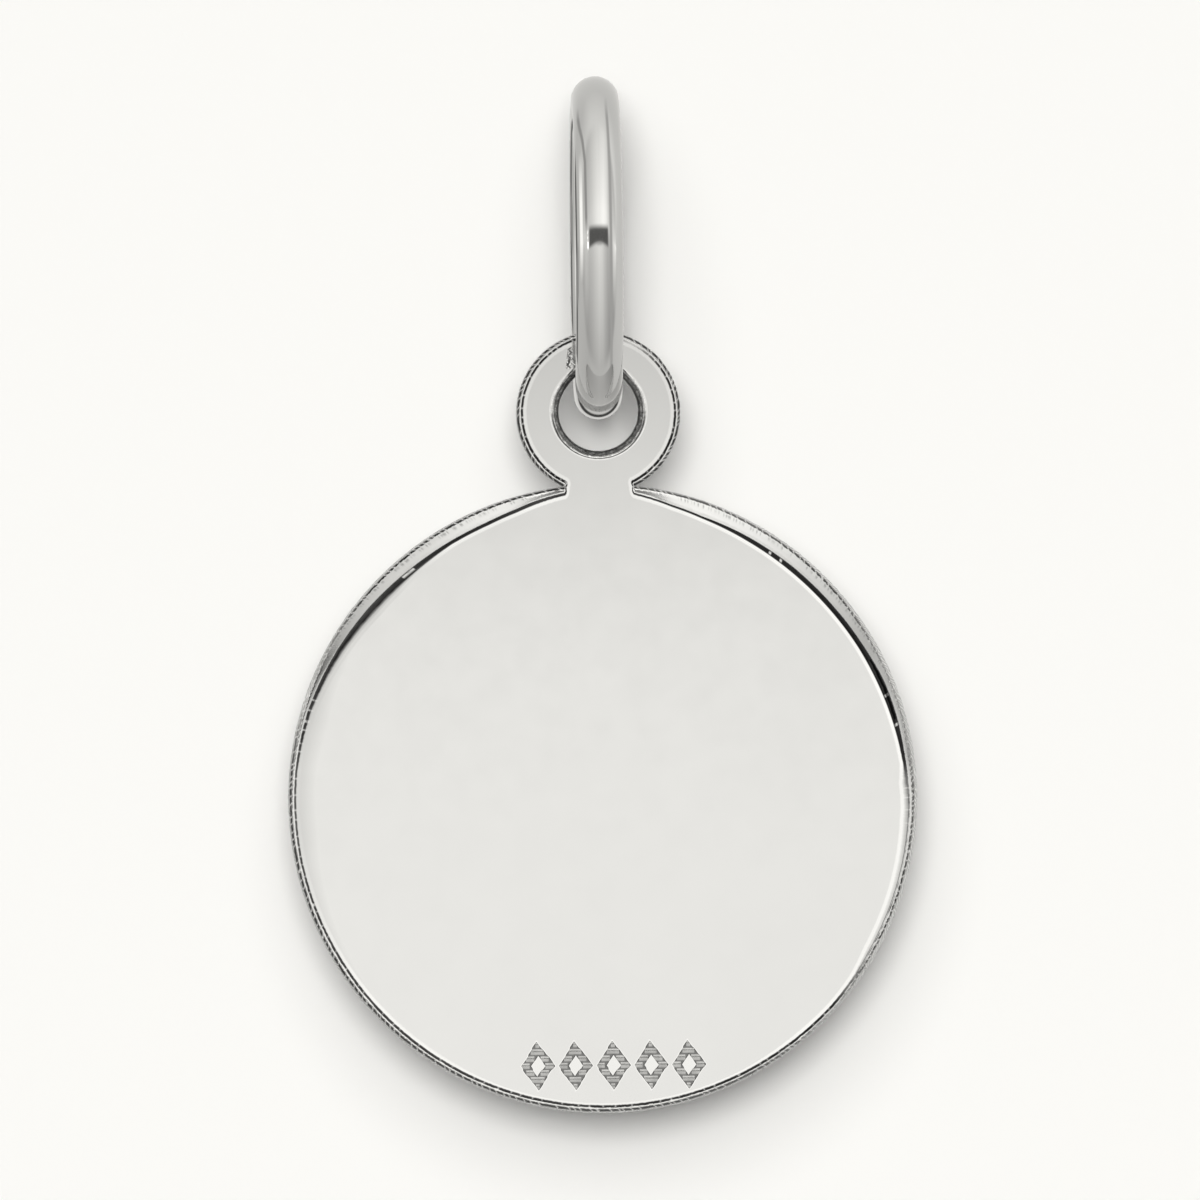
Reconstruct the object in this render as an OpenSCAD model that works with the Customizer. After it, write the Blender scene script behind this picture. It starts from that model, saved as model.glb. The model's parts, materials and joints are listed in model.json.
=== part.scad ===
// Plain round disc charm with an eyelet, hung on a jump ring.
// Millimetres. +Z is up and +X is to the right of someone who looks at the
// back face, which faces -Y. The origin is the inside top of the ring, where
// a chain runs through. The disc hangs in the XZ plane, with the sheet's
// middle at y = 0, and the ring stands across it in the YZ plane.

/* [Disc] */
// Diameter of the disc over its rim
disc_d = 11.0; // [10:0.1:12.5]
// Thickness of the sheet that the disc and its eyelet are cut from
sheet_t = 0.46; // [0.4:0.02:0.6]
// Radius of the rolled rim along the back face
back_round = 0.11; // [0.08:0.01:0.16]
// Width of the slant along the front face's rim
front_break = 0.04; // [0.02:0.01:0.08]

/* [Eyelet] */
// Outer diameter of the eyelet
eyelet_d = 2.87; // [2.6:0.01:3.3]
// How deep the eyelet's circle runs into the disc's
eyelet_sink = 0.185; // [0.12:0.005:0.4]
// Diameter of the eyelet's hole
hole_d = 1.46; // [1.3:0.01:1.6]
// How far the hole's middle lies above the eyelet's
hole_up = 0.03; // [0:0.01:0.1]
// Radius of the torn lip round the hole on the back face
hole_lip = 0.07; // [0.04:0.01:0.1]
// Width of the slant round the hole on the front face
hole_break = 0.03; // [0.02:0.01:0.06]

/* [Jump ring] */
// Outer diameter of the ring
ring_d = 6.0; // [5:0.1:8]
// Diameter of the ring's round wire
wire_d = 0.83; // [0.6:0.01:0.95]
// Gap between the wire and the top of the eyelet's hole
ring_gap = 0.04; // [0.03:0.01:0.1]

/* [Terraces] */
// Step down from the flat face to the terraces along the upper rim
terrace_step = 0.025; // [0.01:0.005:0.04]
// Slope of the terraces towards the rim, in degrees
terrace_slope = 9; // [5:0.5:14]
// Width of the upper left terrace at its widest place
left_terrace_w = 0.345; // [0.2:0.005:0.45]
// Direction of that place from the disc's middle, anticlockwise from the right
left_terrace_dir = 132.5; // [115:0.5:150]
// How much larger the radius of the terrace's inner line is than the disc's
left_terrace_flat = 0.78; // [0.4:0.02:1.2]
// Width of the upper right terrace at its widest place
right_terrace_w = 0.34; // [0.2:0.005:0.45]
// Direction of that place from the disc's middle, anticlockwise from the right
right_terrace_dir = 47.8; // [30:0.1:60]
// How much larger the radius of the terrace's inner line is than the disc's
right_terrace_flat = 0.24; // [0.1:0.02:0.6]

/* [Row of lozenges] */
// Number of lozenges sunk into the back face
mark_count = 5; // [3:1:6]
// Width of one lozenge
mark_w = 0.58; // [0.4:0.02:0.6]
// Height of one lozenge
mark_h = 0.84; // [0.7:0.02:0.96]
// Width of the stroke that outlines a lozenge
mark_stroke = 0.13; // [0.08:0.01:0.16]
// Distance between the middles of two lozenges
mark_pitch = 0.66; // [0.62:0.02:0.8]
// Depth of the lozenges
mark_depth = 0.02; // [0.01:0.005:0.05]
// Height of the row's middle above the disc's lowest point
mark_up = 0.84; // [0.7:0.02:1.6]
// How far the row's middle lies to the right of the disc's
mark_right = 0.12; // [-0.2:0.02:0.2]

/* [Rubbed groove] */
// How far the groove beside the ring lies to the left of the eyelet's middle
groove_left = 0.51; // [0.46:0.01:0.6]
// Length of the groove
groove_l = 0.42; // [0.3:0.02:0.46]
// Radius of the groove's round bottom
groove_r = 0.08; // [0.05:0.01:0.12]
// Depth of the groove
groove_depth = 0.012; // [0.006:0.002:0.03]

/* [Hidden] */

// Fineness of all round shapes
$fn = 144;
// How far a rounding's circle stands past the face that it leaves, so that
// the two meet in a fine line
crossing = 0.001;
// How far cutting shapes run past what they cut
past = 0.5;

disc_r = disc_d / 2;
eyelet_r = eyelet_d / 2;
hole_r = hole_d / 2;
wire_r = wire_d / 2;
back_z = sheet_t / 2;
front_z = -sheet_t / 2;

// Heights, worked out downwards from the inside top of the ring
ring_inside_r = ring_d / 2 - wire_d;
ring_z = -ring_inside_r;
ring_inside_low = -2 * ring_inside_r;
hole_z = ring_inside_low + ring_gap - hole_r;
eyelet_z = hole_z - hole_up;
eyelet_rise = disc_r + eyelet_r - eyelet_sink;
disc_z = eyelet_z - eyelet_rise;

// Half the width of the neck, where the disc's circle crosses the eyelet's
neck_up = (eyelet_rise * eyelet_rise + disc_r * disc_r - eyelet_r * eyelet_r) / (2 * eyelet_rise);
neck_half = sqrt(disc_r * disc_r - neck_up * neck_up);

// The plate's shapes are drawn as seen from the back: x to the right, y up
// and z towards the viewer, about a point at height z on the centre line
module seen_from_back(z) {
    translate([0, 0, z])
        rotate([90, 0, 0])
            children();
}

// A round blank of the sheet: rolled rim on the back, slanted rim in front
module blank(r) {
    rotate_extrude()
        difference() {
            translate([0, front_z])
                square([r, sheet_t]);
            translate([r - back_round, back_z - back_round])
                difference() {
                    square([past, past]);
                    circle(back_round + crossing);
                }
            translate([r, front_z])
                rotate(45)
                    square(sqrt(2) * front_break, center = true);
        }
}

// Fills the roll between disc and eyelet, so that the face runs through
module neck() {
    half = neck_half - back_round;
    low = neck_up - 2 * back_round;
    high = disc_r + 2 * back_round;
    translate([-half, low, front_z])
        cube([2 * half, high - low, sheet_t]);
}

// A step and slope beyond a circle that stands off the disc's middle
module terrace(w, dir, flat) {
    line_r = disc_r + flat;
    run = w + past;
    floor_z = back_z - terrace_step;
    rotate(dir)
        translate([-flat - w, 0, 0])
            rotate_extrude()
                polygon([
                    [line_r, back_z + past],
                    [line_r, floor_z],
                    [line_r + run, floor_z - run * tan(terrace_slope)],
                    [line_r + run, back_z + past]
                ]);
}

// The eyelet's hole, with its lip on the back and its slant in front
module hole() {
    translate([0, 0, front_z - past])
        cylinder(h = sheet_t + 2 * past, r = hole_r);
    rotate_extrude()
        difference() {
            translate([0, back_z - hole_lip])
                square([hole_r + hole_lip, past]);
            translate([hole_r + hole_lip, back_z - hole_lip])
                circle(hole_lip + crossing);
        }
    translate([0, 0, front_z - hole_break])
        cylinder(h = 2 * hole_break, r1 = hole_r + 2 * hole_break, r2 = hole_r);
}

// A flat rhombus about the origin
module rhombus(w, h) {
    polygon([[-w / 2, 0], [0, -h / 2], [w / 2, 0], [0, h / 2]]);
}

// A row of sunk lozenge outlines
module lozenges() {
    first = -(mark_count - 1) / 2 * mark_pitch;
    middle_to_side = mark_w * mark_h / 2 / sqrt(mark_w * mark_w + mark_h * mark_h);
    inner = 1 - mark_stroke / middle_to_side;
    for (i = [0 : mark_count - 1])
        translate([mark_right + first + i * mark_pitch, mark_up - disc_r, back_z - mark_depth])
            linear_extrude(past)
                difference() {
                    rhombus(mark_w, mark_h);
                    rhombus(inner * mark_w, inner * mark_h);
                }
}

// Beside the ring, between the hole's lip and the rim
module groove() {
    middle = (sqrt(pow(hole_r + hole_lip, 2) - groove_left * groove_left) + hole_up
        + sqrt(pow(eyelet_r - back_round, 2) - groove_left * groove_left)) / 2;
    translate([-groove_left, middle, back_z + groove_r - groove_depth])
        rotate([90, 0, 0])
            cylinder(h = groove_l, r = groove_r, center = true);
}

module disc() {
    color([0.86, 0.86, 0.84])
        difference() {
            union() {
                seen_from_back(disc_z)
                    difference() {
                        blank(disc_r);
                        terrace(left_terrace_w, left_terrace_dir, left_terrace_flat);
                        terrace(right_terrace_w, right_terrace_dir, right_terrace_flat);
                    }
                seen_from_back(eyelet_z)
                    blank(eyelet_r);
                seen_from_back(disc_z)
                    neck();
            }
            seen_from_back(hole_z)
                hole();
            seen_from_back(eyelet_z)
                groove();
            seen_from_back(disc_z)
                lozenges();
        }
}

module jump_ring() {
    color([0.8, 0.8, 0.79])
        translate([0, 0, ring_z])
            rotate([0, 90, 0])
                rotate_extrude()
                    translate([(ring_d - wire_d) / 2, 0])
                        circle(wire_r);
}

jump_ring();
disc();
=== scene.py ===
# Disc pendant in polished white gold, seen from its back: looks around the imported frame.
import json
from math import asin, cos, degrees, hypot, pi, radians, sin

import bmesh
import bpy
import numpy as np
from mathutils import Matrix, Vector, geometry

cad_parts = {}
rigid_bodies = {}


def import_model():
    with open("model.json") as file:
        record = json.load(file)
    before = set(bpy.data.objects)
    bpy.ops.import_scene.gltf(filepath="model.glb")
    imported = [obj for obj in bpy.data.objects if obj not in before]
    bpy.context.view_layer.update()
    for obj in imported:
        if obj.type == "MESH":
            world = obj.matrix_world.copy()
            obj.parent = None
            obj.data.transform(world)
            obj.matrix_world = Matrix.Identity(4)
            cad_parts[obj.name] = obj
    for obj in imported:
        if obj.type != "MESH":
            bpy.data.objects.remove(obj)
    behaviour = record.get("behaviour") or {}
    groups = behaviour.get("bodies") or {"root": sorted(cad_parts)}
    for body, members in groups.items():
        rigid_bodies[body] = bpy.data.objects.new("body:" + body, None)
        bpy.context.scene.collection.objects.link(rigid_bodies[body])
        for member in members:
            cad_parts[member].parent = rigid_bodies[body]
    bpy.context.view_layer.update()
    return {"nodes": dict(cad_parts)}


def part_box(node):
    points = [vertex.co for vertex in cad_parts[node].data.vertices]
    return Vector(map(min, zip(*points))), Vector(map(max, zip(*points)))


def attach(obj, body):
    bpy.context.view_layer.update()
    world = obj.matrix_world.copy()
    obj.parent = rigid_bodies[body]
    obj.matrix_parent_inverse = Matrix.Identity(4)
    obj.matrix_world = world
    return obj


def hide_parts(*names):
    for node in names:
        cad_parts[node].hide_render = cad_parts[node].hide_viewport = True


for leftOver in list(bpy.data.objects):
    bpy.data.objects.remove(leftOver)
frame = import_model()
print("frame loaded:", ", ".join(sorted(frame["nodes"])))

mm = 0.001
discLow, discHigh = (Vector(corner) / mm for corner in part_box("disc"))
ringLow, ringHigh = (Vector(corner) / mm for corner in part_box("jump_ring"))
discRadius = (discHigh.x - discLow.x) / 2


# Helpers for objects and node trees

def newObject(name, data):
    thing = bpy.data.objects.new(name, data)
    bpy.context.scene.collection.objects.link(thing)
    return thing


# Feeds a socket with a node's first output, another socket or a plain value.
def feed(socket, value):
    if isinstance(value, bpy.types.Node):
        value = value.outputs[0]
    if isinstance(value, bpy.types.NodeSocket):
        socket.id_data.links.new(value, socket)
    else:
        socket.default_value = value


# Adds a node, makes its settings and feeds its sockets, each given by name or number.
def addNode(tree, kind, sockets=None, **settings):
    node = tree.nodes.new(kind)
    for name, value in settings.items():
        setattr(node, name, value)
    for name, value in (sockets or {}).items():
        feed(node.inputs[name], value)
    return node


def maths(tree, operation, *values):
    return addNode(tree, "ShaderNodeMath", dict(enumerate(values)), operation=operation)


def times(tree, first, second):
    return maths(tree, "MULTIPLY", first, second)


def spread(tree, value, fromLow, fromHigh, toLow=0.0, toHigh=1.0, smooth=False):
    sockets = {"Value": value, "From Min": fromLow, "From Max": fromHigh, "To Min": toLow, "To Max": toHigh}
    kind = "SMOOTHSTEP" if smooth else "LINEAR"
    return addNode(tree, "ShaderNodeMapRange", sockets, interpolation_type=kind)


def blend(tree, factor, first, second):
    return addNode(tree, "ShaderNodeMix", {0: factor, 2: first, 3: second}, data_type="FLOAT")


def tinted(tree, colour, value):
    sockets = {0: 1.0, 6: (*colour, 1), 7: value}
    return addNode(tree, "ShaderNodeMix", sockets, data_type="RGBA", blend_type="MULTIPLY").outputs[2]


def noise(tree, vector, scale, detail):
    return addNode(tree, "ShaderNodeTexNoise", {"Vector": vector, "Scale": scale, "Detail": detail})


# A node group with named sockets. A word gives a socket's kind, and an input's value gives its own.
def newGroup(name, kind, inputs, outputs):
    group = bpy.data.node_groups.new(name, kind)
    for label, value in inputs.items():
        word = value if isinstance(value, str) else type(value).__name__.capitalize()
        socket = group.interface.new_socket(name=label, in_out="INPUT", socket_type="NodeSocket" + word)
        if word != value:
            socket.default_value = value
    for label, word in outputs.items():
        group.interface.new_socket(name=label, in_out="OUTPUT", socket_type="NodeSocket" + word)
    return group, addNode(group, "NodeGroupInput").outputs, addNode(group, "NodeGroupOutput").inputs


# Camera: the photo's view, square on to the back face with a long lens

viewpoint = {
    "lens": 500.0, "sensor": 36.0,
    "frameWidth": 20.97,  # what the picture takes in at the back face, in mm
    "aimUp": 3.473,       # the picture's middle above the disc's middle
    "aimRight": -0.0125,
    "turn": 1.1,   # the camera stands this far to the left, in degrees
    "lean": 0.67,  # the pendant leans this far to the left
}


def placeCamera():
    turn, lean = radians(viewpoint["turn"]), radians(viewpoint["lean"])
    aim = Vector((viewpoint["aimRight"], discLow.y, discLow.z + discRadius + viewpoint["aimUp"]))
    forward = Vector((sin(turn), cos(turn), 0))
    level = Vector((cos(turn), -sin(turn), 0))
    right = level * cos(lean) - Vector((0, 0, 1)) * sin(lean)
    up = level * sin(lean) + Vector((0, 0, 1)) * cos(lean)
    distance = viewpoint["frameWidth"] * viewpoint["lens"] / viewpoint["sensor"]
    data = bpy.data.cameras.new("photoCamera")
    data.lens = viewpoint["lens"]
    data.sensor_width = viewpoint["sensor"]
    data.clip_start = 0.001
    data.clip_end = 5.0
    camera = newObject("photoCamera", data)
    turned = Matrix((right, up, -forward)).transposed().to_4x4()
    camera.matrix_world = Matrix.Translation((aim - forward * distance) * mm) @ turned
    bpy.context.scene.camera = camera


placeCamera()
print("camera placed")


# Shader groups that the finishes share

# Faint cloudiness and ripple that polishing leaves on metal.
def makePolishFilm():
    group, given, out = newGroup("polishFilm", "ShaderNodeTree", {
        "Vector": "Vector", "Cloud Scale": 300.0, "Cloud Depth": 0.02, "Ripple Scale": 700.0,
        "Least Roughness": 0.06, "Roughness Spread": 0.04,
    }, {"Shade": "Float", "Roughness": "Float", "Height": "Float"})
    cloud = noise(group, given["Vector"], given["Cloud Scale"], 3.0)
    dimmed = times(group, spread(group, cloud, 0.3, 0.7), given["Cloud Depth"])
    feed(out["Shade"], maths(group, "SUBTRACT", 1.0, dimmed))
    fine = noise(group, given["Vector"], times(group, given["Cloud Scale"], 9.0), 2.0)
    extra = times(group, fine, given["Roughness Spread"])
    feed(out["Roughness"], maths(group, "ADD", given["Least Roughness"], extra))
    feed(out["Height"], noise(group, given["Vector"], given["Ripple Scale"], 1.0))
    return group


# Dark and bright dashes of sheared metal along a UV map, as strong as the mask Torn.
def makeTornGrain():
    group, given, out = newGroup("tornGrain", "ShaderNodeTree", {
        "Vector": "Vector", "Torn": 1.0, "Dashes per mm": 8.0, "Slant": 5.0, "Waver": 1.5,
        "Darkest": 0.25, "Brightest": 2.0,
    }, {"Shade": "Float", "Height": "Float"})
    run, across, _ = addNode(group, "ShaderNodeSeparateXYZ", {0: given["Vector"]}).outputs
    phase = times(group, run, given["Dashes per mm"])
    phase = maths(group, "MULTIPLY_ADD", across, given["Slant"], phase)
    phase = maths(group, "MULTIPLY_ADD", noise(group, given["Vector"], 6.0, 3.0), given["Waver"], phase)
    wave = maths(group, "SINE", times(group, phase, 2 * pi))
    dashes = spread(group, wave, -0.2, 0.85, given["Darkest"], given["Brightest"], smooth=True)
    feed(out["Shade"], blend(group, given["Torn"], 1.0, dashes))
    feed(out["Height"], times(group, wave, given["Torn"]))
    return group


polishFilm = makePolishFilm()
tornGrain = makeTornGrain()


# A polished metal. A toned one reads the attributes tone and satin, and one with a grain also takes
# the torn grain along its UV map. The tone attribute holds painted shade and painted highlights; glossy
# rays see a grained metal in the plain shade given as mirrored instead. Heights are in mm.
def metalFinish(name, finish):
    material = bpy.data.materials.new(name)
    material.use_nodes = True
    tree = material.node_tree

    def mask(label):
        return addNode(tree, "ShaderNodeAttribute", attribute_name=label).outputs["Fac"]

    place = addNode(tree, "ShaderNodeTexCoord").outputs
    sockets = {"Vector": place["Object"], **finish["film"]}
    shade, roughness, height = addNode(tree, "ShaderNodeGroup", sockets, node_tree=polishFilm).outputs
    normal = addNode(tree, "ShaderNodeBump", {"Distance": finish["rippleHeight"] * mm, "Height": height})
    if finish.get("toned"):
        shade = times(tree, shade, mask("tone"))
        roughness = maths(tree, "ADD", roughness, mask("satin"))
    if "grain" in finish:
        sockets = {"Vector": place["UV"], "Torn": mask("torn"), **finish["grain"]}
        grain, height = addNode(tree, "ShaderNodeGroup", sockets, node_tree=tornGrain).outputs
        mirrored = addNode(tree, "ShaderNodeLightPath").outputs["Is Glossy Ray"]
        shade = blend(tree, mirrored, times(tree, shade, grain), finish["mirrored"])
        sockets = {"Distance": finish["grainHeight"] * mm, "Height": height, "Normal": normal}
        normal = addNode(tree, "ShaderNodeBump", sockets)
    shader = tree.nodes["Principled BSDF"].inputs
    feed(shader["Metallic"], 1.0)
    feed(shader["Base Color"], tinted(tree, finish["colour"], shade))
    feed(shader["Roughness"], roughness)
    feed(shader["Normal"], normal)
    return material


facePolish = metalFinish("facePolish", {
    "colour": (0.74, 0.74, 0.738), "toned": True, "rippleHeight": 0.0,
    "film": {"Cloud Scale": 260.0, "Cloud Depth": 0.02, "Ripple Scale": 420.0,
             "Least Roughness": 0.05, "Roughness Spread": 0.04},
})
shearedEdge = metalFinish("shearedEdge", {
    "colour": (0.75, 0.75, 0.748), "toned": True, "rippleHeight": 0.002,
    "film": {"Cloud Scale": 900.0, "Cloud Depth": 0.05, "Ripple Scale": 4000.0,
             "Least Roughness": 0.2, "Roughness Spread": 0.2},
    "grain": {"Dashes per mm": 9.0, "Slant": 26.0, "Waver": 3.5, "Darkest": 0.8, "Brightest": 1.15},
    "grainHeight": 0.003,
    "mirrored": 0.95,  # how bright the wire mirrors it, whatever its tone
})
hatchPolish = metalFinish("hatchPolish", {
    "colour": (0.569, 0.569, 0.565), "rippleHeight": 0.002,
    "film": {"Cloud Scale": 7000.0, "Cloud Depth": 0.25, "Ripple Scale": 9000.0,
             "Least Roughness": 0.2, "Roughness Spread": 0.1},
})
wirePolish = metalFinish("wirePolish", {
    "colour": (0.638, 0.638, 0.636), "rippleHeight": 0.0004,
    "film": {"Cloud Scale": 500.0, "Cloud Depth": 0.03, "Ripple Scale": 900.0,
             "Least Roughness": 0.05, "Roughness Spread": 0.04},
})
print("finishes made")


# Jump ring: round wire swept along a circle that stands across the disc

ringShape = {
    "Ring Radius": ((ringHigh.y - ringLow.y) / 2 - (ringHigh.x - ringLow.x) / 2) * mm,
    "Wire Radius": (ringHigh.x - ringLow.x) / 2 * mm,
    "Steps Round": 256, "Steps Wire": 64,
    "Height": (ringHigh.z + ringLow.z) / 2 * mm,
}


# Realize Instances, then Set Material.
def dressTree(tree, geometry, material):
    real = addNode(tree, "GeometryNodeRealizeInstances", {0: geometry})
    return addNode(tree, "GeometryNodeSetMaterial", {"Geometry": real, "Material": material})


def makeRingTree():
    tree, given, out = newGroup("wireRing", "GeometryNodeTree", {
        "Geometry": "Geometry", "Ring Radius": 0.0026, "Wire Radius": 0.0004,
        "Steps Round": 256, "Steps Wire": 64, "Height": 0.0,
    }, {"Geometry": "Geometry"})
    path, section = (addNode(tree, "GeometryNodeCurvePrimitiveCircle",
                             {"Resolution": given["Steps " + way], "Radius": given[what + " Radius"]})
                     for way, what in (("Round", "Ring"), ("Wire", "Wire")))
    upright = addNode(tree, "GeometryNodeTransform", {"Geometry": path, "Rotation": (0, radians(90), 0)})
    sweep = addNode(tree, "GeometryNodeCurveToMesh", {"Curve": upright, "Profile Curve": section})
    lift = addNode(tree, "ShaderNodeCombineXYZ", {"Z": given["Height"]})
    raised = addNode(tree, "GeometryNodeTransform", {"Geometry": sweep, "Translation": lift})
    smooth = addNode(tree, "GeometryNodeSetShadeSmooth", {0: raised})
    feed(out["Geometry"], dressTree(tree, smooth, wirePolish))
    return tree


# Runs a Geometry Nodes tree on a mesh and keeps the result as a plain mesh object.
def bakeTree(name, start, tree, settings):
    holder = newObject(name, start)
    modifier = holder.modifiers.new("build", "NODES")
    modifier.node_group = tree
    for item in tree.interface.items_tree:
        if item.item_type == "SOCKET" and item.in_out == "INPUT" and item.name in settings:
            modifier[item.identifier] = settings[item.name]
    graph = bpy.context.evaluated_depsgraph_get()
    mesh = bpy.data.meshes.new_from_object(holder.evaluated_get(graph), preserve_all_data_layers=True,
                                           depsgraph=graph)
    holder.modifiers.remove(modifier)
    holder.data = mesh
    mesh.name = name
    return holder


jumpRing = bakeTree("jumpRing", bpy.data.meshes.new("ringStart"), makeRingTree(), ringShape)
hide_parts("jump_ring")
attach(jumpRing, "ring")
print("jump ring swept:", len(jumpRing.data.polygons), "faces")


# Disc plate: rows of points that follow the rim and the hole, and flat fields between them

plateShape = {
    "thickness": discHigh.y - discLow.y,
    "eyeletRadius": 1.435,
    "neckHalf": 0.635,      # half the neck's width, where the two circles cross
    "columnPitch": 0.0245,  # distance of two columns of points along the rim
    "fanColumns": 40,       # columns round each inner corner of the neck
    "frontBreak": 0.04,     # slant along the front face's rim
}
plateShape["discZ"] = discLow.z + discRadius
plateShape["eyeletZ"] = discHigh.z - plateShape["eyeletRadius"]

# The two terraces below the flat face, each bounded by a circle that stands off the disc's middle
terraces = [
    {"bearing": 132.5, "width": 0.345, "flat": 0.78,
     "taper": [(96.6, 0.92), (102, 1.0), (106, 1.09), (112, 1.09), (120, 0.995), (128, 0.98), (134, 0.92),
               (140, 0.87), (150, 0.77), (160, 0.72), (176, 0.66)]},
    {"bearing": 407.8, "width": 0.34, "flat": 0.24,
     "taper": [(340, 1.0), (368, 1.03), (380, 1.0), (390, 0.98), (400, 1.0), (420, 1.02), (430, 1.0),
               (436, 0.92), (443.4, 0.65)]},
]

# The rim round the disc: bearing, anticlockwise from the right; in thousandths of a mm, inset of the
# flat face's line, width of the dark crease outside it, softness of the crease's inner side, width of
# the torn edge, inset of the dark line in it; in percent, tones of crease, bright lip, land and dark line.
# These tones are painted light: painted shade in the crease and the dark line, a painted highlight on
# the lip and painted reflections on the land.
rimTable = [
    (96.6, 110, 45, 10, 50, 30, 10, 133, 115, 4),
    (103, 145, 58, 12, 56, 32, 7, 133, 128, 5),
    (110, 145, 56, 10, 62, 40, 4, 125, 134, 5),
    (120, 145, 56, 10, 66, 44, 3, 122, 122, 5),
    (128, 145, 78, 35, 68, 48, 5, 100, 112, 3),
    (134, 145, 78, 90, 68, 52, 6, 93, 108, 3),
    (140, 145, 80, 110, 68, 50, 8, 90, 98, 6),
    (150, 145, 56, 90, 62, 38, 7, 92, 85, 50),
    (160, 160, 40, 60, 70, 40, 7, 95, 68, 100),
    (168, 146, 34, 35, 72, 38, 8, 100, 90, 30),
    (174, 136, 34, 10, 72, 38, 14, 105, 105, 8),
    (185, 135, 34, 8, 74, 42, 18, 106, 105, 5),
    (200, 136, 34, 8, 74, 44, 10, 110, 108, 4),
    (215, 138, 36, 8, 74, 46, 10, 118, 115, 4),
    (235, 139, 36, 8, 76, 50, 12, 115, 115, 8),
    (270, 140, 36, 8, 76, 48, 10, 115, 115, 8),
    (305, 128, 36, 8, 72, 46, 7, 120, 110, 25),
    (318, 116, 36, 8, 60, 40, 6, 120, 100, 90),
    (324, 122, 30, 20, 88, 78, 55, 120, 98, 30),
    (330, 150, 30, 50, 100, 88, 85, 120, 95, 6),
    (345, 156, 30, 65, 98, 84, 78, 120, 92, 6),
    (355, 160, 30, 80, 94, 78, 60, 120, 90, 18),
    (362, 164, 36, 80, 90, 74, 35, 120, 92, 18),
    (366, 160, 50, 12, 92, 78, 4, 125, 100, 45),
    (370, 152, 70, 8, 92, 80, 3, 125, 105, 60),
    (375, 152, 100, 8, 92, 80, 4, 130, 105, 60),
    (382, 152, 122, 8, 94, 82, 4, 130, 86, 60),
    (390, 152, 92, 8, 94, 78, 3, 128, 78, 40),
    (400, 152, 85, 8, 86, 70, 3, 130, 98, 8),
    (410, 152, 86, 8, 78, 58, 3, 132, 110, 12),
    (420, 152, 72, 8, 74, 56, 3, 133, 126, 25),
    (430, 152, 34, 8, 56, 36, 3, 134, 133, 20),
    (438, 145, 30, 8, 50, 32, 4, 134, 133, 20),
    (443.4, 110, 30, 8, 50, 30, 10, 130, 115, 15),
]
eyeletRim = (112, 36, 8, 52, 24, 5, 120, 115, 5)  # the same round the eyelet
rimUnits = (1000,) * 5 + (100,) * 4

# The torn edge and the crease are broken into dashes: longest dash and widest gap, in mm. In the gaps
# the painted dark line and the crease's painted shade give way to the gap tones.
rimDashes = {"edge": (0.15, 0.024), "crease": (0.3, 0.022), "eyeletCrease": (0.18, 0.02),
             "edgeGapTone": 1.05, "creaseGapTone": 0.75}
# Painted highlights: short bright slits across the creases of the terraces: bearing, half length in degrees
creaseGlints = [(130.2, 1.4), (373.5, 0.25), (379.3, 0.3), (412.7, 0.25), (415.1, 0.2)]
rimLooks = {
    "dim": [(148, 0), (164, 1), (186, 1), (220, 0)],  # where painted shade dims the face at its left
    "lip": [(236, 0.07), (250, 0.04), (295, 0.04), (309, 0.07)],  # how wide the painted highlight of its lip is, in mm
    "fade": (62, 14, 0.75),  # where the painted shade of the eyelet's crease fades: direction, half width, by how much
    "satin": 0.3,            # of the terraces
    "tighter": 0.5,          # how much narrower all is round the neck's corners
    "wide": 0.15,            # a terrace of this width has all of its step and slope
    "waver": 0.003,          # how far the flat face's line staggers
    "ragged": (0.85, 1.08),  # the torn edge's width varies by these factors
    "margin": 0.004,         # from crease to land, from land to torn edge and down to it
    "darkHalf": 0.024,       # half width of the painted dark line
    # tone of the painted bright slits in the creases
    "creaseGlintTone": 1.1,
    "specks": (0.3, 0.1, 0.5),  # share of specks beside the torn edge, and how dark they are
    "side": [(0.15, 0.5, 0.9), (0.22, 0.6, 0.6), (0.3, 0.75, 0.35), (0.37, 0.85, 0.2)],  # depth, tone, torn
}

# Depths below the flat face, in mm, and slopes in degrees
rimDepths = {"step": 0.02, "terraceStep": 0.025, "slope": 9.0, "landSlope": 1.0, "roll": 0.05}


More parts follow.
